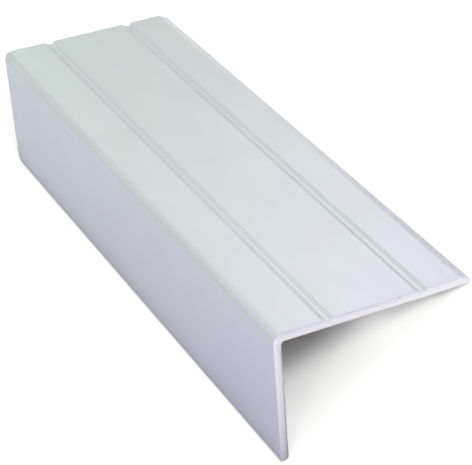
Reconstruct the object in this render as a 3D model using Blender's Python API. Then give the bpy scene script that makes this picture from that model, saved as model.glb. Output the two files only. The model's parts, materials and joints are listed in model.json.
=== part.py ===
"""Aluminium stair nosing: one extruded L-section with two lengthwise grooves in its tread.

The section is drawn as it sits on a stair: the riser leaf hangs from the nose and the tread leaf
runs back from it, level. The finished bar is then set down the way it comes to rest on a floor by
itself, standing on the foot of its riser leaf and on the back edge of its tread leaf, nose up.
Metres, +Z up. X runs along the bar, and the riser leaf faces -Y.
"""
import math

import bmesh
import bpy
from mathutils import Matrix, Vector

# Driving sizes
BAR_LENGTH = 0.172
TREAD_DEPTH = 0.050
RISER_HEIGHT = 0.0338
TREAD_WALL = 0.0023
RISER_WALL = 0.0020
NOSE_RADIUS = 0.0023
INNER_CORNER_RADIUS = 0.0008

# The two grooves, alike: flat floor, the front flank gentler than the back one, mouth edges softly
# rounded. A groove's place is the depth where its front flank starts.
FRONT_GROOVE_PLACE = 0.0120
BACK_GROOVE_PLACE = 0.0356
GROOVE_DEPTH = 0.00075
GROOVE_FRONT_FLANK = 0.00135
GROOVE_FLOOR = 0.0010
GROOVE_BACK_FLANK = 0.00065
GROOVE_EDGE_RADIUS = 0.0004

# The tread's back edge ramps down to a narrow tip
RAMP_WIDTH = 0.0028
RAMP_DROP = 0.00135
RAMP_EDGE_RADIUS = 0.0015
TIP_RADIUS = 0.00025

# The riser's foot: a small round in front, a larger one behind
FOOT_FRONT_RADIUS = 0.0004
FOOT_BACK_RADIUS = 0.0010

RAMP_SLOPE = math.atan2(RAMP_DROP, RAMP_WIDTH)
# Length of the tip's round down the back face; the round under it takes up the rest of the wall
TIP_REACH = TIP_RADIUS * math.tan((math.pi / 2 - RAMP_SLOPE) / 2)
UNDER_RADIUS = TREAD_WALL - RAMP_DROP - TIP_REACH

# Middles of the rounds that the bar rests on and reaches out with, as (depth, height)
FOOT_FRONT = (FOOT_FRONT_RADIUS, FOOT_FRONT_RADIUS - RISER_HEIGHT)
FOOT_BACK = (RISER_WALL - FOOT_BACK_RADIUS, FOOT_BACK_RADIUS - RISER_HEIGHT)
TIP = (TREAD_DEPTH - TIP_RADIUS, -RAMP_DROP - TIP_REACH)
UNDER = (TREAD_DEPTH - UNDER_RADIUS, UNDER_RADIUS - TREAD_WALL)

# Steps on each round
NOSE_STEPS = 12
FOOT_STEPS = 8
UNDER_STEPS = 8
TIP_STEPS = 5
RAMP_EDGE_STEPS = 5
INNER_STEPS = 5
GROOVE_STEPS = 4

SMOOTH_BELOW = math.radians(25)


def arc(centre, radius, start_degrees, end_degrees, steps):
    """Points of a circular arc in the section's plane, both ends included."""
    points = []
    for step in range(steps + 1):
        angle = math.radians(start_degrees + (end_degrees - start_degrees) * step / steps)
        points.append((centre[0] + radius * math.cos(angle), centre[1] + radius * math.sin(angle)))
    return points


def mouth_edge(depth, slope, side):
    """Round where the tread's top turns down a groove's flank: side is 1 behind the groove, -1 before it."""
    reach = GROOVE_EDGE_RADIUS * math.tan(slope / 2)
    turn = side * math.degrees(slope)
    ends = (90, 90 + turn) if side > 0 else (90 + turn, 90)
    return arc((depth + side * reach, -GROOVE_EDGE_RADIUS), GROOVE_EDGE_RADIUS, *ends, GROOVE_STEPS)


def groove(place):
    """One groove across the tread's top, from its back edge to its front edge."""
    floor_front = place + GROOVE_FRONT_FLANK
    floor_back = floor_front + GROOVE_FLOOR
    back_edge = mouth_edge(floor_back + GROOVE_BACK_FLANK, math.atan2(GROOVE_DEPTH, GROOVE_BACK_FLANK), 1)
    front_edge = mouth_edge(place, math.atan2(GROOVE_DEPTH, GROOVE_FRONT_FLANK), -1)
    return back_edge + [(floor_back, -GROOVE_DEPTH), (floor_front, -GROOVE_DEPTH)] + front_edge


def back_edge():
    """The tread's back edge, from its underside up round the tip and up the ramp to its top."""
    ramp_start = TREAD_DEPTH - RAMP_WIDTH - RAMP_EDGE_RADIUS * math.tan(RAMP_SLOPE / 2)
    ramp_side = 90 - math.degrees(RAMP_SLOPE)
    under = arc(UNDER, UNDER_RADIUS, -90, 0, UNDER_STEPS)
    tip = arc(TIP, TIP_RADIUS, 0, ramp_side, TIP_STEPS)
    ramp_edge = arc((ramp_start, -RAMP_EDGE_RADIUS), RAMP_EDGE_RADIUS, ramp_side, 90, RAMP_EDGE_STEPS)
    return under + tip[1:] + ramp_edge


def section_outline():
    """The closed section as (depth, height) points: riser face at depth 0, tread top at height 0."""
    foot_front = arc(FOOT_FRONT, FOOT_FRONT_RADIUS, 180, 270, FOOT_STEPS)
    foot_back = arc(FOOT_BACK, FOOT_BACK_RADIUS, 270, 360, FOOT_STEPS)
    inner_centre = (RISER_WALL + INNER_CORNER_RADIUS, -TREAD_WALL - INNER_CORNER_RADIUS)
    inner_corner = arc(inner_centre, INNER_CORNER_RADIUS, 180, 90, INNER_STEPS)
    grooves = groove(BACK_GROOVE_PLACE) + groove(FRONT_GROOVE_PLACE)
    nose = arc((NOSE_RADIUS, -NOSE_RADIUS), NOSE_RADIUS, 90, 180, NOSE_STEPS)
    return foot_front + foot_back + inner_corner + back_edge() + grooves + nose


def rest_lean():
    """Angle that the bar leans back by when its foot and the tread's back edge both touch the floor."""
    run = UNDER[0] - FOOT_BACK[0]
    rise = UNDER[1] - FOOT_BACK[1]
    return math.atan2(rise, run) - math.asin((UNDER_RADIUS - FOOT_BACK_RADIUS) / math.hypot(run, rise))


def resting_place():
    """Turns the section to its rest and sets it on the floor, with its middle over the origin."""
    turn = Matrix.Rotation(-rest_lean(), 4, "X")
    front, foot, tip = (turn @ Vector((0, *centre)) for centre in (FOOT_FRONT, FOOT_BACK, TIP))
    middle = (front.y - FOOT_FRONT_RADIUS + tip.y + TIP_RADIUS) / 2
    return Matrix.Translation((0, -middle, FOOT_BACK_RADIUS - foot.z)) @ turn


def aluminium():
    """Pale satin silver anodised aluminium."""
    material = bpy.data.materials.new("satin_aluminium")
    material.use_nodes = True
    shader = material.node_tree.nodes["Principled BSDF"]
    shader.inputs["Base Color"].default_value = (0.66, 0.68, 0.70, 1)
    shader.inputs["Metallic"].default_value = 1.0
    shader.inputs["Roughness"].default_value = 0.38
    return material


def nosing_bar():
    """Extrudes the section along the bar's length."""
    shape = bmesh.new()
    corners = [shape.verts.new((-BAR_LENGTH / 2, depth, height)) for depth, height in section_outline()]
    sawn_end = shape.faces.new(corners)
    run = bmesh.ops.extrude_face_region(shape, geom=[sawn_end], use_keep_orig=True)
    moved = [item for item in run["geom"] if isinstance(item, bmesh.types.BMVert)]
    bmesh.ops.translate(shape, verts=moved, vec=(BAR_LENGTH, 0, 0))
    bmesh.ops.recalc_face_normals(shape, faces=shape.faces)
    mesh = bpy.data.meshes.new("nosing_bar")
    shape.to_mesh(mesh)
    shape.free()
    mesh.shade_smooth()
    mesh.set_sharp_from_angle(angle=SMOOTH_BELOW)
    mesh.materials.append(aluminium())
    bar = bpy.data.objects.new("nosing_bar", mesh)
    bpy.context.scene.collection.objects.link(bar)
    return bar


def main():
    for old in list(bpy.data.objects):
        bpy.data.objects.remove(old)
    bar = nosing_bar()
    bar.matrix_world = resting_place()


main()
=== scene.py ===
"""Looks of the aluminium stair nosing: satin anodised metal, sawn ends, pale studio floor.

Places on the bar are in metres from the near end of its nose, along the stair's own axes: along the
bar, depth behind the riser's face, and height, with the tread level. Stops are (place, tone) in
rising order, and a tone is a grey number or a colour.
"""
import json
import math

import bmesh
import bpy
from mathutils import Matrix, Vector


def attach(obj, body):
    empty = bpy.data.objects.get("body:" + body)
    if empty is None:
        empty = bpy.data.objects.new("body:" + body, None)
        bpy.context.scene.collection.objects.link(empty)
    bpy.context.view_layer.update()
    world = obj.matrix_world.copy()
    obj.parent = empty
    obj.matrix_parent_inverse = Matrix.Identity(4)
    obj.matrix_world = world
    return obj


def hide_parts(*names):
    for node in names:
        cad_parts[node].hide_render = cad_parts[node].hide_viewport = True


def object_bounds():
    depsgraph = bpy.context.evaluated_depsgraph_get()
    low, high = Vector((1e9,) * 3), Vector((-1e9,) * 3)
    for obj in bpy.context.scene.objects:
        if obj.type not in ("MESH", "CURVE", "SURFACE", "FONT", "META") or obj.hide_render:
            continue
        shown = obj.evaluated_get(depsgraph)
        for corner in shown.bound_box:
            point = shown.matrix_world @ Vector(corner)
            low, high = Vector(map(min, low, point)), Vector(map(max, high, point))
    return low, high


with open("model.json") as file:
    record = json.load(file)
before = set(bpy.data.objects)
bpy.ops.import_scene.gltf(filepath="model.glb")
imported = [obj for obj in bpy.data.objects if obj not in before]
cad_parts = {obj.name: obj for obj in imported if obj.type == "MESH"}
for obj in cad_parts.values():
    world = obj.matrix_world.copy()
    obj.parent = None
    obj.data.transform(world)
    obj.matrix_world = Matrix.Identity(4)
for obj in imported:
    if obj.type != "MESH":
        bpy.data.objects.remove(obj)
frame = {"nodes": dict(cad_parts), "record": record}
CAD_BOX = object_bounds()

MM = 0.001
NODE = "nosing_bar"
WHITE = (1, 1, 1, 1)

# The photograph's frame, and the camera's place in the stair's own axes, here in millimetres
IMAGE_WIDTH = 472
FOCAL_PIXELS = 2129.6
SENSOR_WIDTH = 36.0
CLIP_START, CLIP_END = 0.01, 50
CAMERA_PLACE = Vector((357.69, -158.70, 249.57))
CAMERA_LOOK = Vector((-0.79959, 0.33974, -0.49522))
CAMERA_UP = Vector((-0.42430, 0.26398, 0.86619))

# Floor as the camera sees it, by place in the room. Under the bar's near end it has painted shade, darker
# in the corner, and painted light towards the tread's back edge, as in the photograph. Far away it fades
# into the white room.
FLOOR_SIZE = 4.0
FADE_START, FADE_END = 0.40, 0.80
FLOOR_SHOWN = (1.60, 1.60, 1.58)
PAINTED_SHADE_ALONG = (
    (0.020, FLOOR_SHOWN),
    (0.045, (1.27, 1.27, 1.25)),
    (0.061, (1.27, 1.27, 1.25)),
    (0.064, (1.42, 1.42, 1.40)),
    (0.067, (1.56, 1.56, 1.54)),
    (0.070, FLOOR_SHOWN),
)
PAINTED_SHADE_ACROSS = ((-0.027, FLOOR_SHOWN), (-0.024, 0), (-0.002, 0), (0.004, FLOOR_SHOWN))
# Painted light on the floor under the tread towards its back edge, by place along and across
PAINTED_LIGHT_ALONG = (
    (0.040, 0),
    (0.060, 1),
    (0.070, 0.95),
    (0.073, 0.66),
    (0.076, 0.28),
    (0.079, 0.16),
    (0.083, 0),
)
PAINTED_LIGHT_ACROSS = (
    (-0.004, 0),
    (0.002, 0.30),
    (0.008, 1.1),
    (0.014, 1.6),
    (0.018, 3.0),
    (0.024, 4.5),
    (0.028, 0),
)

# Floor as it lights other things, and as the metal mirrors it. The mirrored tone by place is painted
# reflection:
# darker just in front of the riser's foot, lighter far out in front, past the near end and towards the far
# end
FLOOR_PLAIN = (0.80, 0.80, 0.80, 1)
FLOOR_ALONG = (
    (-0.17, (1.25, 1.24, 1.25)),
    (-0.08, (1.16, 1.15, 1.16)),
    (0.0, (1.05, 1.04, 1.06)),
    (0.05, (0.95, 0.93, 0.98)),
    (0.08, (0.94, 0.92, 0.96)),
    (0.092, (1.36, 1.31, 1.38)),
    (0.11, (1.31, 1.27, 1.32)),
)
FLOOR_ACROSS = (
    (-0.70, (1.65, 1.60, 1.82)),
    (-0.10, (0.82, 0.79, 0.94)),
    (-0.035, (0.63, 0.60, 0.73)),
    (0.025, (0.94, 0.93, 0.97)),
)

# Room's light by direction: along the bar as it lights things and as the metal mirrors it, and
# across the bar
ROOM_ALONG = ((0.0, (0.376, 0.404, 0.355)), (0.5, (0.169, 0.182, 0.160)))
ROOM_MIRRORED = ((0.0, (0.376, 0.404, 0.355)), (0.5, (0.62, 0.63, 0.64)))
ROOM_ACROSS = ((-0.6, (1.5, 1.5, 1.6)), (-0.25, 1))

# Strong lamps: name, place, power. They light the set, but the metal doesn't mirror them, because
# it would glare from other sides.
LAMP_AIM = (0.05, 0, 0.02)
LAMP_SIZE = (0.42, 0.42)
LAMPS = (
    ("key", (0.865, 0.297, 0.697), 6.48),
    ("back_low", (0.238, 1.067, 0.211), 1.77),
    ("top_back", (0.55, 0.596, 0.798), 0.73),
    ("front_low", (0.771, -0.721, 0.432), 1.11),
    ("front_lowest", (0.88, -0.696, 0.211), 1.12),
)
# Cards, which the metal mirrors: name, place, aim, size, power, colour
CARDS = (
    ("card_high", (-0.38, 0.33, 0.36), (0.03, 0, 0), (0.42, 0.42), 0.366, (0.95, 1.0, 0.95)),
    ("card_low", (-0.22, 0.36, 0.17), (0.06, 0, 0), (0.20, 0.16), 0.048, (0.71, 0.52, 1.0)),
    ("card_side", (-0.43, 0.52, 0.16), (0.07, 0, 0.02), (0.24, 0.16), 0.117, (0.89, 0.88, 1.0)),
    ("card_end", (-0.87, 0.24, 0.26), (0, 0, 0.02), (0.30, 0.24), 0.132, (0.61, 0.96, 1.0)),
    ("card_front", (-0.90, -0.30, 0.36), (0, 0, 0.02), (0.40, 0.30), 0.212, (0.83, 0.95, 1.0)),
    ("card_over", (-0.66, 0.0, 0.72), (0, 0, 0.02), (0.30, 0.30), 0.486, (0.89, 0.83, 1.0)),
    ("card_front_high", (-0.66, -0.46, 0.60), (0, 0, 0.02), (0.36, 0.30), 0.371, (0.96, 0.96, 1.0)),
)

# Rounds that the saw left along its edges: outside, and inside on the riser leaf and the tread leaf
ARRIS = 0.12 * MM
RISER_ARRIS = 0.20 * MM
TREAD_ARRIS = 0.11 * MM
ARRIS_STEPS = 4

# The riser's foot is knocked round at its far corner
FOOT_CORNER = 1.8 * MM
FOOT_FROM = -32.5 * MM
FOOT_CORNER_STEPS = 4

# The far saw cut isn't quite square: the bar runs on at the nose, and less with depth and height
OVERRUN = 1.15 * MM
OVERRUN_DEPTH = 32 * MM
OVERRUN_HEIGHT = 14 * MM

# Inner faces of the two leaves, and the height that parts the riser's from the tread's
RISER_INSIDE = 1.95 * MM
TREAD_UNDERSIDE = -2.25 * MM
INNER_CORNER = -4 * MM

# Faces of the mesh are smooth over gentler turns than this. A corner takes the normal of a flat
# that is this many times as long as its other side.
SMOOTH_BELOW = math.radians(25)
FLAT_RATIO = 3
SAME_PLANE = math.radians(0.5)
WELD = 1e-6
OUTER, INNER, SAWN, SHADED_ARRIS = range(4)

# Noise goes from its usual least to its usual most between these values
NOISE_LOW, NOISE_HIGH = 0.3, 0.7
# Scales of the noises along the bar, across it and up: a larger number is finer
DRAWN = (7, 1500, 1500)
GRAIN = (7000, 7000, 7000)
TORN = (2500, 2500, 2500)
ARRIS_SHADE_GRAIN = (1500, 1500, 1500)
FILM_CLOUDS = (55, 90, 90)
INNER_CLOUDS = (60, 110, 110)
WANDER = (420, 420, 420)

# Film's tone along the bar, with a darker line just inside the near saw cut. Its drift from greener at the
# far end to more lavender at the near end is painted light.
FILM = (
    (-0.1714, (0.825, 0.855, 0.865)),
    (-0.086, (0.828, 0.847, 0.863)),
    (-0.0008, (0.840, 0.848, 0.892)),
    (-0.0005, (0.735, 0.745, 0.785)),
    (-0.0002, (0.850, 0.858, 0.902)),
)
FILM_WANDER = 0.25 * MM
# Film's tone by height: painted shade, greyer on the riser's foot, where it meets the floor
PAINTED_FOOT_SHADE = (
    (-0.0338, (0.74, 0.74, 0.76)),
    (-0.0328, (0.82, 0.82, 0.83)),
    (-0.0318, (0.92, 0.92, 0.93)),
    (-0.0300, (0.96, 0.96, 0.97)),
    (-0.0270, 1),
)
# Film's tone by height on the nose's round, which is painted shade in a darker band across it, and the
# depths behind which the round has ended
NOSE_SHADE = (
    (-0.0019, 1),
    (-0.0015, 0.96),
    (-0.0011, 0.905),
    (-0.0008, 0.905),
    (-0.0005, 0.95),
    (-0.0002, 1),
)
BEHIND_NOSE = ((0.0024, 0), (0.0030, 1))
# Grooves: the depths where they start, and the tone of their flanks from there on, front flank first,
# which is painted shade in the grooves. Towards the near end the flanks are not darkened, as the last tone
# along the bar says.
GROOVE_PLACES = (12.0 * MM, 35.6 * MM)
FLANK_SHADE = (
    (-0.0001, 1),
    (0.0001, (0.88, 0.89, 0.85)),
    (0.0012, (0.88, 0.89, 0.85)),
    (0.0014, 1),
    (0.0023, 1),
    (0.0025, 0.95),
    (0.0029, 0.95),
    (0.0031, 1),
)
FLANK_SHADE_ALONG = (
    (-0.150, (0.88, 0.88, 0.86)),
    (-0.110, (0.91, 0.91, 0.90)),
    (-0.060, 0.985),
    (-0.030, 1),
)

# Tone of the inner faces, by noise: painted shade, far darker than the outer film
INNER_SHADE = ((NOISE_LOW, (0.49, 0.48, 0.46)), (NOISE_HIGH, (0.55, 0.54, 0.52)))

# Tone of the sawn ends by height: painted shade, darkest towards the foot
SAWN_SHADE_BY_HEIGHT = (
    (-0.0338, (0.67, 0.68, 0.65)),
    (-0.0305, (0.76, 0.77, 0.74)),
    (-0.022, (0.86, 0.88, 0.86)),
    (-0.014, (0.93, 0.96, 0.90)),
    (-0.004, (0.85, 0.87, 0.88)),
    (-0.0021, 0.93),
    (-0.0008, (0.88, 0.88, 0.91)),
    (-0.0004, (0.79, 0.81, 0.85)),
)
SAWN_WANDER = 0.12 * MM
# Tone of the riser's sawn end by depth: a painted highlight on its outer side and painted shade towards
# the inner arris, and the heights above which it has ended
RISER_END_HIGHLIGHT_AND_SHADE = (
    (0.0, (1.10, 1.10, 1.11)),
    (0.0008, (1.08, 1.08, 1.09)),
    (0.0010, (1.02, 1.01, 1.02)),
    (0.0014, (1.0, 0.99, 1.0)),
    (0.0016, (0.78, 0.78, 0.77)),
)
ABOVE_RISER = ((-0.006, 0), (-0.004, 1))
# Arcs of the saw blade: centre, distance, depth, and tone from hollow to crest
SAW_CENTRE = Vector((0, 0.055, -0.048))
SAW_PITCH = 0.3 * MM
SAW_DEPTH = 0.006 * MM
SAW_MARKS = ((0.0, 0.95), (1.0, 1.03))
# Distance between the rings of a wave texture at scale 1
WAVE_PERIOD = math.tau / 20
# Scratches of the burr across the sawn ends: start and end as (depth, height), and tone
SCRATCHES = (
    ((0.0160, 0.0), (0.0304, -0.00095), 0.80),
    ((0.0304, -0.00095), (0.0323, 0.0), 0.68),
)
SCRATCH_WIDTH = 0.17 * MM

# Tone of the painted shade along the inner arris by noise, and how much lighter it gets by height and by
# depth, away from the inner corner
ARRIS_SHADE_TONE = ((NOISE_LOW, (0.12, 0.12, 0.13)), (NOISE_HIGH, (0.19, 0.19, 0.20)))
ARRIS_SHADE_DOWN = ((-0.034, 2.6), (-0.012, 2.2), (-0.004, 1))
ARRIS_SHADE_BACK = ((0.004, 1), (0.030, 2.2), (0.046, 2.8))


def mount(name):
    """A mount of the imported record, by name."""
    return next(m for m in frame["record"]["mounts"] if m["name"] == name)


def stair_axes():
    """Turn from the stair's own axes to the bar as it rests, taken from the seats' normals."""
    back = Vector(mount("riser_seat")["axis"])
    up = -Vector(mount("tread_seat")["axis"])
    along = back.cross(up)
    return Matrix((along, back, up)).transposed()


STAIR = stair_axes()
ALONG, BACK, UP = STAIR.transposed()


def nose_corner():
    """Near end of the nose: where the planes of the tread's top and the riser's outer face meet."""
    points = [vertex.co for vertex in frame["nodes"][NODE].data.vertices]
    front = min(point.dot(BACK) for point in points)
    top = max(point.dot(UP) for point in points)
    near = max(point.dot(ALONG) for point in points)
    return STAIR @ Vector((near, front, top))


NOSE = nose_corner()
LENGTH = CAD_BOX[1][0] - CAD_BOX[0][0]


def section_points():
    """Corners of the bar's section in order round it, as (depth, height)."""
    shape = bmesh.new()
    shape.from_mesh(frame["nodes"][NODE].data)
    bmesh.ops.remove_doubles(shape, verts=shape.verts, dist=WELD)
    bmesh.ops.dissolve_limit(shape, angle_limit=SAME_PLANE, verts=shape.verts, edges=shape.edges)
    near_end = max(shape.faces, key=lambda face: face.normal.x * face.calc_area())
    corners = [STAIR.transposed() @ (corner.vert.co - NOSE) for corner in near_end.loops]
    shape.free()
    return [Vector((corner.y, corner.z)) for corner in corners]


def side_normals(points):
    """Outward normal of each side, from one section corner to the next."""
    normals = []
    for here, after in zip(points, points[1:] + points[:1]):
        run = (after - here).normalized()
        normals.append(Vector((run.y, -run.x)))
    return normals


def corner_normals(points, sides):
    """Normals that each corner shows to the side before it and to the one after: flats stay flat."""
    normals = []
    for index, corner in enumerate(points):
        before, after = sides[index - 1], sides[index]
        length_before = (corner - points[index - 1]).length
        length_after = (points[(index + 1) % len(points)] - corner).length
        if before.angle(after) > SMOOTH_BELOW:
            normals.append((before, after))
        elif length_before > FLAT_RATIO * length_after:
            normals.append((before, before))
        elif length_after > FLAT_RATIO * length_before:
            normals.append((after, after))
        else:
            shared = (before + after).normalized()
            normals.append((shared, shared))
    return normals


def corner_miters(sides):
    """Way in which each corner moves outwards when its two sides move outwards by one."""
    return [(before + after) / (1 + before.dot(after)) for before, after in zip(sides[-1:] + sides, sides)]


def is_inner(corner):
    """Whether a section corner lies on the inner faces, which clasp the step's edge."""
    return corner.x > RISER_INSIDE and corner.y < TREAD_UNDERSIDE


def arris_radius(corner):
    """Round left on a sawn edge, by where it is on the section."""
    if not is_inner(corner):
        return ARRIS
    return RISER_ARRIS if corner.y < INNER_CORNER else TREAD_ARRIS


def overrun(corner):
    """How much longer than its shortest line the bar is at a section corner."""
    return OVERRUN * max(0, 1 - corner.x / OVERRUN_DEPTH) * max(0, 1 + corner.y / OVERRUN_HEIGHT)


def foot_wear(end, corner, inward):
    """How far into the foot's knocked corner a place is, from 0 at its start to 1 at the bar's end."""
    if end == "far" and corner.y < FOOT_FROM and inward < FOOT_CORNER:
        return 1 - inward / FOOT_CORNER
    return 0.0


def stations():
    """Slices along the bar as (end, distance from that end, degrees round its arris)."""
    turns = [90 * step / ARRIS_STEPS for step in range(ARRIS_STEPS + 1)]
    angles = [math.radians(90 * step / FOOT_CORNER_STEPS) for step in range(FOOT_CORNER_STEPS)]
    far = [("far", 0.0, turn) for turn in reversed(turns)]
    foot = [("far", FOOT_CORNER * (1 - math.sin(angle)), 0) for angle in reversed(angles)]
    return far + foot + [("near", 0.0, turn) for turn in turns]


def shown_normal(normal, angle, lean, worn, rise):
    """A section normal turned over a sawn edge's round, and over the foot's knocked corner."""
    flat = normal * math.cos(angle)
    lean -= max(-flat.y, 0) * worn
    return (STAIR @ Vector((lean, flat.x, flat.y * (1 - rise)))).normalized()


def bar_slice(points, miters, shown, end, distance, turn):
    """Vertices of one slice, and the two normals that each of them shows."""
    angle = math.radians(turn)
    lean = math.sin(angle) * (1 if end == "near" else -1)
    vertices, normals = [], []
    for corner, miter, pair in zip(points, miters, shown):
        radius = arris_radius(corner)
        inward = distance or radius * (1 - math.sin(angle))
        worn = foot_wear(end, corner, inward)
        rise = 1 - math.sqrt(1 - worn * worn)
        place = corner - miter * radius * (1 - math.cos(angle))
        place.y += FOOT_CORNER * rise
        along = -inward if end == "near" else inward - LENGTH - overrun(corner)
        vertices.append(NOSE + STAIR @ Vector((along, place.x, place.y)))
        normals.append([shown_normal(normal, angle, lean, worn, rise) for normal in pair])
    return vertices, normals


def bar_piece():
    """The bar as it shows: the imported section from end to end, with the rounds that the saw left."""
    points = section_points()
    sides = side_normals(points)
    shown = corner_normals(points, sides)
    miters = corner_miters(sides)
    vertices, normals = [], []
    for station in stations():
        slice_vertices, slice_normals = bar_slice(points, miters, shown, *station)
        vertices += slice_vertices
        normals += slice_normals
    return grid_object(points, vertices, normals)


def side_finish(points, side, at_cut):
    """Material of one side of the section, between two slices."""
    if not (is_inner(points[side]) and is_inner(points[(side + 1) % len(points)])):
        return OUTER
    return SHADED_ARRIS if at_cut else INNER


def grid_object(points, vertices, normals):
    """Object from slices of section corners, with both ends closed and the given normals."""
    count = len(points)
    last = len(vertices) // count - 1
    faces, shown, finish = [], [], []
    for index in range(last):
        low, high = index * count, (index + 1) * count
        at_cut = index < ARRIS_STEPS or index >= last - ARRIS_STEPS
        for side in range(count):
            after = (side + 1) % count
            faces.append((low + side, low + after, high + after, high + side))
            shown += [normals[low + side][1], normals[low + after][0]]
            shown += [normals[high + after][0], normals[high + side][1]]
            finish.append(side_finish(points, side, at_cut))
    for index, facing in ((0, -1), (last, 1)):
        faces.append(tuple(index * count + corner for corner in range(count))[::facing])
        shown += [Vector((facing, 0, 0))] * count
        finish.append(SAWN)
    return finished_object(vertices, faces, shown, finish)


def finished_object(vertices, faces, shown, finish):
    """Object of the given mesh, normals and materials."""
    mesh = bpy.data.meshes.new("nosing_bar_finish")
    mesh.from_pydata(vertices, [], faces)
    mesh.shade_smooth()
    mesh.normals_split_custom_set(shown)
    for material in (anodised_aluminium(), shaded_inner_face(), sawn_end(), shaded_inner_arris()):
        mesh.materials.append(material)
    mesh.polygons.foreach_set("material_index", finish)
    piece = bpy.data.objects.new("nosing_bar_finish", mesh)
    bpy.context.scene.collection.objects.link(piece)
    return piece


def new_material(name):
    """A material with its own nodes."""
    material = bpy.data.materials.new(name)
    material.use_nodes = True
    return material


def as_colour(tone):
    """A tone as three numbers, whether it is a grey or a colour."""
    return tone if isinstance(tone, tuple) else (tone, tone, tone)


def ramp(tree, value, stops):
    """Colour that runs through the stops as the value rises."""
    first, last = stops[0][0], stops[-1][0]
    spread = tree.nodes.new("ShaderNodeMapRange")
    spread.inputs["From Min"].default_value = first
    spread.inputs["From Max"].default_value = last
    shade = tree.nodes.new("ShaderNodeValToRGB")
    marks = shade.color_ramp.elements
    while len(marks) < len(stops):
        marks.new(0.5)
    for mark, (place, tone) in zip(marks, stops):
        mark.position = (place - first) / (last - first)
        mark.color = (*as_colour(tone), 1)
    tree.links.new(value, spread.inputs["Value"])
    tree.links.new(spread.outputs[0], shade.inputs["Fac"])
    return shade.outputs["Color"]


def blended(tree, first, second, kind="MULTIPLY"):
    """The two colours multiplied, or blended in another way."""
    shade = tree.nodes.new("ShaderNodeMix")
    shade.data_type = "RGBA"
    shade.blend_type = kind
    shade.inputs["Factor"].default_value = 1.0
    tree.links.new(first, shade.inputs["A"])
    tree.links.new(second, shade.inputs["B"])
    return shade.outputs["Result"]


def stretched(tree, scale):
    """The bar's own coordinates, scaled: a larger number makes finer detail along that axis."""
    source = tree.nodes.new("ShaderNodeTexCoord")
    spread = tree.nodes.new("ShaderNodeMapping")
    spread.inputs["Scale"].default_value = scale
    tree.links.new(source.outputs["Object"], spread.inputs["Vector"])
    return spread.outputs["Vector"]


def noise(tree, scale, detail):
    """Noise over the bar."""
    cloud = tree.nodes.new("ShaderNodeTexNoise")
    cloud.inputs["Scale"].default_value = 1.0
    cloud.inputs["Detail"].default_value = detail
    tree.links.new(stretched(tree, scale), cloud.inputs["Vector"])
    return cloud.outputs["Fac"]


def between(tree, value, low, high):
    """Number from low to high by the noise."""
    spread = tree.nodes.new("ShaderNodeMapRange")
    spread.inputs["From Min"].default_value = NOISE_LOW
    spread.inputs["From Max"].default_value = NOISE_HIGH
    spread.inputs["To Min"].default_value = low
    spread.inputs["To Max"].default_value = high
    tree.links.new(value, spread.inputs["Value"])
    return spread.outputs[0]


def varied(tree, value, low, high):
    """Grey from low to high by the noise, to multiply a colour with."""
    return ramp(tree, value, ((NOISE_LOW, low), (NOISE_HIGH, high)))


def by_place(tree, axis, stops, wander=0.0):
    """Colour by place along one of the stair's axes, with bounds that may wander."""
    source = tree.nodes.new("ShaderNodeTexCoord")
    along = tree.nodes.new("ShaderNodeVectorMath")
    along.operation = "DOT_PRODUCT"
    along.inputs[1].default_value = axis
    tree.links.new(source.outputs["Object"], along.inputs[0])
    start = NOSE.dot(axis)
    stops = [(start + distance, tone) for distance, tone in stops]
    if not wander:
        return ramp(tree, along.outputs["Value"], stops)
    sway = tree.nodes.new("ShaderNodeMath")
    sway.operation = "ADD"
    tree.links.new(along.outputs["Value"], sway.inputs[0])
    tree.links.new(between(tree, noise(tree, WANDER, detail=3.0), -wander, wander), sway.inputs[1])
    return ramp(tree, sway.outputs[0], stops)


def tinted(tree, *colours):
    """All the colours multiplied, as the shader's base colour."""
    result = colours[0]
    for colour in colours[1:]:
        result = blended(tree, result, colour)
    tree.links.new(result, tree.nodes["Principled BSDF"].inputs["Base Color"])


def relief(tree, height, depth, under=None):
    """Bumps of the given height and depth, over those under them."""
    bump = tree.nodes.new("ShaderNodeBump")
    bump.inputs["Strength"].default_value = 1.0
    bump.inputs["Distance"].default_value = depth
    tree.links.new(height, bump.inputs["Height"])
    if under:
        tree.links.new(under, bump.inputs["Normal"])
    return bump.outputs["Normal"]


def metal(name, roughness, scale, depth):
    """Aluminium with marks of the scale and depth given, and a fine satin grain."""
    material = new_material(name)
    tree = material.node_tree
    shader = tree.nodes["Principled BSDF"]
    shader.inputs["Metallic"].default_value = 1.0
    marks = noise(tree, scale, detail=3.0)
    grain = noise(tree, GRAIN, detail=1.0)
    tree.links.new(between(tree, marks, *roughness), shader.inputs["Roughness"])
    normal = relief(tree, grain, depth / 2, relief(tree, marks, depth))
    tree.links.new(normal, shader.inputs["Normal"])
    return material, marks


def nose_shade(tree):
    """Painted shade on the nose's round, which leaves the leaves behind it alone."""
    return blended(tree, by_place(tree, UP, NOSE_SHADE), by_place(tree, BACK, BEHIND_NOSE), "LIGHTEN")


def groove_shade(tree):
    """Painted shade on the grooves' flanks."""
    marks = [(place + distance, tone) for place in GROOVE_PLACES for distance, tone in FLANK_SHADE]
    return blended(tree, by_place(tree, BACK, marks), by_place(tree, ALONG, FLANK_SHADE_ALONG), "LIGHTEN")


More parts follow.
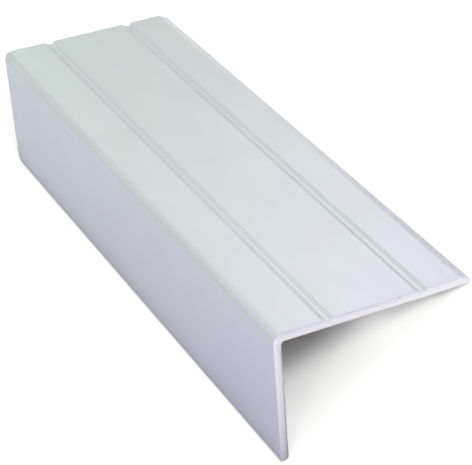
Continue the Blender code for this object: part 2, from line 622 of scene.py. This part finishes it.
def anodised_aluminium():
    """Satin silver anodised film: faint drawing lines and slight clouds, with painted light in its tint
    along the bar and painted shade on the riser's foot, the nose's round and the grooves' flanks.
    """
    material, lines = metal("anodised_aluminium", roughness=(0.435, 0.465), scale=DRAWN, depth=0.0008 * MM)
    tree = material.node_tree
    clouds = varied(tree, noise(tree, FILM_CLOUDS, detail=3.0), low=0.985, high=1.015)
    # The tone along the bar is painted light; the foot, nose and groove tones are painted shade
    tone = by_place(tree, ALONG, FILM, FILM_WANDER)
    foot = by_place(tree, UP, PAINTED_FOOT_SHADE)
    streaks = varied(tree, lines, low=0.992, high=1.007)
    tinted(tree, tone, foot, nose_shade(tree), groove_shade(tree), streaks, clouds)
    return material


def shaded_inner_face():
    """Inner faces: the same film, rougher, darkened by painted shade."""
    material, lines = metal("shaded_inner_face", roughness=(0.48, 0.54), scale=DRAWN, depth=0.0015 * MM)
    tree = material.node_tree
    clouds = ramp(tree, noise(tree, INNER_CLOUDS, detail=4.0), INNER_SHADE)
    tinted(tree, clouds, varied(tree, lines, low=0.97, high=1.03))
    return material


def saw_arcs(tree):
    """Height of the arcs that the saw blade left round its centre."""
    place = stretched(tree, (1, 1, 1))
    place.node.inputs["Location"].default_value = -(NOSE + STAIR @ SAW_CENTRE)
    arcs = tree.nodes.new("ShaderNodeTexWave")
    arcs.wave_type = "RINGS"
    arcs.rings_direction = "X"
    arcs.inputs["Scale"].default_value = WAVE_PERIOD / SAW_PITCH
    arcs.inputs["Distortion"].default_value = 3.0
    arcs.inputs["Detail Scale"].default_value = 0.4
    tree.links.new(place, arcs.inputs["Vector"])
    return arcs.outputs["Fac"]


def scratch(tree, start, end, tone):
    """Dark line on a sawn end."""
    run = Vector(end) - Vector(start)
    along = STAIR @ Vector((0, *run.normalized()))
    across = STAIR @ Vector((0, -run.y, run.x)).normalized()
    first = STAIR @ Vector((0, *start))
    middle, begin = first.dot(across), first.dot(along)
    stop = begin + run.length
    line = ((middle - SCRATCH_WIDTH, 1), (middle, tone), (middle + SCRATCH_WIDTH, 1))
    beyond = ((begin - SCRATCH_WIDTH, 1), (begin, 0), (stop, 0), (stop + SCRATCH_WIDTH, 1))
    return blended(tree, by_place(tree, across, line), by_place(tree, along, beyond), "LIGHTEN")


def sawn_end():
    """Bare metal of the sawn ends: arcs of the blade, granular between them, with painted shade that greys
    it towards the foot.
    """
    material, torn = metal("sawn_end", roughness=(0.42, 0.52), scale=TORN, depth=0.004 * MM)
    tree = material.node_tree
    arcs = saw_arcs(tree)
    normal = tree.nodes["Principled BSDF"].inputs["Normal"]
    under = normal.links[0].from_socket
    tree.links.new(relief(tree, arcs, SAW_DEPTH, under), normal)
    # The riser's end: painted highlight outside and painted shade towards the inner arris
    riser = blended(tree, by_place(tree, BACK, RISER_END_HIGHLIGHT_AND_SHADE), by_place(tree, UP, ABOVE_RISER), "LIGHTEN")
    height = by_place(tree, UP, SAWN_SHADE_BY_HEIGHT, SAWN_WANDER)
    grit = varied(tree, torn, low=0.95, high=1.04)
    scratches = [scratch(tree, *line) for line in SCRATCHES]
    tinted(tree, height, riser, ramp(tree, arcs, SAW_MARKS), grit, *scratches)
    return material


def shaded_inner_arris():
    """Painted shade: a dark line along the inner arris of the saw cuts, darkest at the inner corner."""
    material, grain = metal("shaded_inner_arris", roughness=(0.50, 0.60), scale=ARRIS_SHADE_GRAIN, depth=0.01 * MM)
    tree = material.node_tree
    dark = ramp(tree, grain, ARRIS_SHADE_TONE)
    tinted(tree, dark, by_place(tree, UP, ARRIS_SHADE_DOWN), by_place(tree, BACK, ARRIS_SHADE_BACK))
    return material


def mixed(tree, factor, first, second):
    """Two shaders, mixed by the factor."""
    mix = tree.nodes.new("ShaderNodeMixShader")
    tree.links.new(factor, mix.inputs[0])
    tree.links.new(first, mix.inputs[1])
    tree.links.new(second, mix.inputs[2])
    return mix.outputs[0]


def floor_fade(tree, place):
    """Number that rises from 0 near the bar to 1 far from it."""
    distance = tree.nodes.new("ShaderNodeVectorMath")
    distance.operation = "LENGTH"
    tree.links.new(place, distance.inputs[0])
    away = tree.nodes.new("ShaderNodeMapRange")
    away.inputs["From Min"].default_value = FADE_START
    away.inputs["From Max"].default_value = FADE_END
    tree.links.new(distance.outputs["Value"], away.inputs["Value"])
    return away.outputs[0]


def floor_shown(tree, place, along, across):
    """Floor as the camera sees it, which keeps the bar's shadow, with painted shade and painted light
    under the near end.
    """
    corner = blended(tree, ramp(tree, along, PAINTED_SHADE_ALONG), ramp(tree, across, PAINTED_SHADE_ACROSS), "LIGHTEN")
    lighter = blended(tree, ramp(tree, along, PAINTED_LIGHT_ALONG), ramp(tree, across, PAINTED_LIGHT_ACROSS))
    near = tree.nodes.new("ShaderNodeBsdfDiffuse")
    tree.links.new(blended(tree, corner, lighter, "ADD"), near.inputs["Color"])
    far = tree.nodes.new("ShaderNodeEmission")
    far.inputs["Color"].default_value = WHITE
    return mixed(tree, floor_fade(tree, place), near.outputs[0], far.outputs[0])


def floor_mirrored(tree, along, across):
    """Floor as the metal mirrors it."""
    mirrored = tree.nodes.new("ShaderNodeBsdfDiffuse")
    shade = blended(tree, ramp(tree, along, FLOOR_ALONG), ramp(tree, across, FLOOR_ACROSS))
    tree.links.new(shade, mirrored.inputs["Color"])
    return mirrored.outputs[0]


def floor_material():
    """White floor: one look to the camera, one to the metal, and plain as it lights other things."""
    material = new_material("white_floor")
    tree = material.node_tree
    tree.nodes.clear()
    output = tree.nodes.new("ShaderNodeOutputMaterial")
    rays = tree.nodes.new("ShaderNodeLightPath")
    place = tree.nodes.new("ShaderNodeTexCoord").outputs["Object"]
    axes = tree.nodes.new("ShaderNodeSeparateXYZ")
    tree.links.new(place, axes.inputs[0])
    along, across = axes.outputs["X"], axes.outputs["Y"]
    plain = tree.nodes.new("ShaderNodeBsdfDiffuse")
    plain.inputs["Color"].default_value = FLOOR_PLAIN
    mirrored = floor_mirrored(tree, along, across)
    unseen = mixed(tree, rays.outputs["Is Glossy Ray"], plain.outputs[0], mirrored)
    shown = floor_shown(tree, place, along, across)
    look = mixed(tree, rays.outputs["Is Camera Ray"], unseen, shown)
    tree.links.new(look, output.inputs["Surface"])
    return material


def floor():
    """Floor that the bar rests on."""
    mesh = bpy.data.meshes.new("floor")
    corners = [(x * FLOOR_SIZE, y * FLOOR_SIZE, 0) for x, y in ((-1, -1), (1, -1), (1, 1), (-1, 1))]
    mesh.from_pydata(corners, [], [(0, 1, 2, 3)])
    plane = bpy.data.objects.new("floor", mesh)
    bpy.context.scene.collection.objects.link(plane)
    mesh.materials.append(floor_material())


def area_light(name, place, aim, size, power, colour, mirrored):
    """A rectangular lamp, which the metal may mirror or not."""
    lamp = bpy.data.lights.new(name, "AREA")
    lamp.shape = "RECTANGLE"
    lamp.size, lamp.size_y = size
    lamp.energy = power
    lamp.color = colour
    light = bpy.data.objects.new(name, lamp)
    light.location = place
    light.visible_glossy = mirrored
    light.rotation_euler = (Vector(aim) - Vector(place)).to_track_quat("-Z", "Y").to_euler()
    bpy.context.scene.collection.objects.link(light)


def lights():
    """The strong lamps and the cards."""
    for name, place, power in LAMPS:
        area_light(name, place, LAMP_AIM, LAMP_SIZE, power, WHITE[:3], mirrored=False)
    for card in CARDS:
        area_light(*card, mirrored=True)


def room_light(tree, along, across, stops):
    """The room's light by direction, with the stops along the bar."""
    light = tree.nodes.new("ShaderNodeBackground")
    tree.links.new(blended(tree, ramp(tree, along, stops), across), light.inputs["Color"])
    return light.outputs[0]


def room():
    """The room round the set, which is plain white to the camera."""
    world = bpy.data.worlds.new("studio")
    bpy.context.scene.world = world
    world.use_nodes = True
    tree = world.node_tree
    tree.nodes.clear()
    output = tree.nodes.new("ShaderNodeOutputWorld")
    rays = tree.nodes.new("ShaderNodeLightPath")
    direction = tree.nodes.new("ShaderNodeTexCoord").outputs["Generated"]
    axes = tree.nodes.new("ShaderNodeSeparateXYZ")
    tree.links.new(direction, axes.inputs[0])
    across = ramp(tree, axes.outputs["Y"], ROOM_ACROSS)
    plain = room_light(tree, axes.outputs["X"], across, ROOM_ALONG)
    mirrored = room_light(tree, axes.outputs["X"], across, ROOM_MIRRORED)
    unseen = mixed(tree, rays.outputs["Is Glossy Ray"], plain, mirrored)
    white = tree.nodes.new("ShaderNodeBackground")
    white.inputs["Color"].default_value = WHITE
    white.inputs["Strength"].default_value = 1.0
    look = mixed(tree, rays.outputs["Is Camera Ray"], unseen, white.outputs[0])
    tree.links.new(look, output.inputs["Surface"])


def camera():
    """The photograph's camera, held to the bar as the photograph shows it."""
    data = bpy.data.cameras.new("camera")
    data.sensor_width = SENSOR_WIDTH
    data.lens = FOCAL_PIXELS / IMAGE_WIDTH * SENSOR_WIDTH
    data.clip_start = CLIP_START
    data.clip_end = CLIP_END
    view = bpy.data.objects.new("camera", data)
    backwards = -(STAIR @ CAMERA_LOOK).normalized()
    right = (STAIR @ CAMERA_UP).cross(backwards).normalized()
    turn = Matrix((right, backwards.cross(right), backwards)).transposed().to_4x4()
    view.matrix_world = Matrix.Translation(NOSE + STAIR @ (CAMERA_PLACE * MM)) @ turn
    bpy.context.scene.collection.objects.link(view)
    bpy.context.scene.camera = view


bpy.context.scene.view_settings.view_transform = "Standard"
bar = bar_piece()
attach(bar, "root")
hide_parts(NODE)
floor()
room()
lights()
camera()
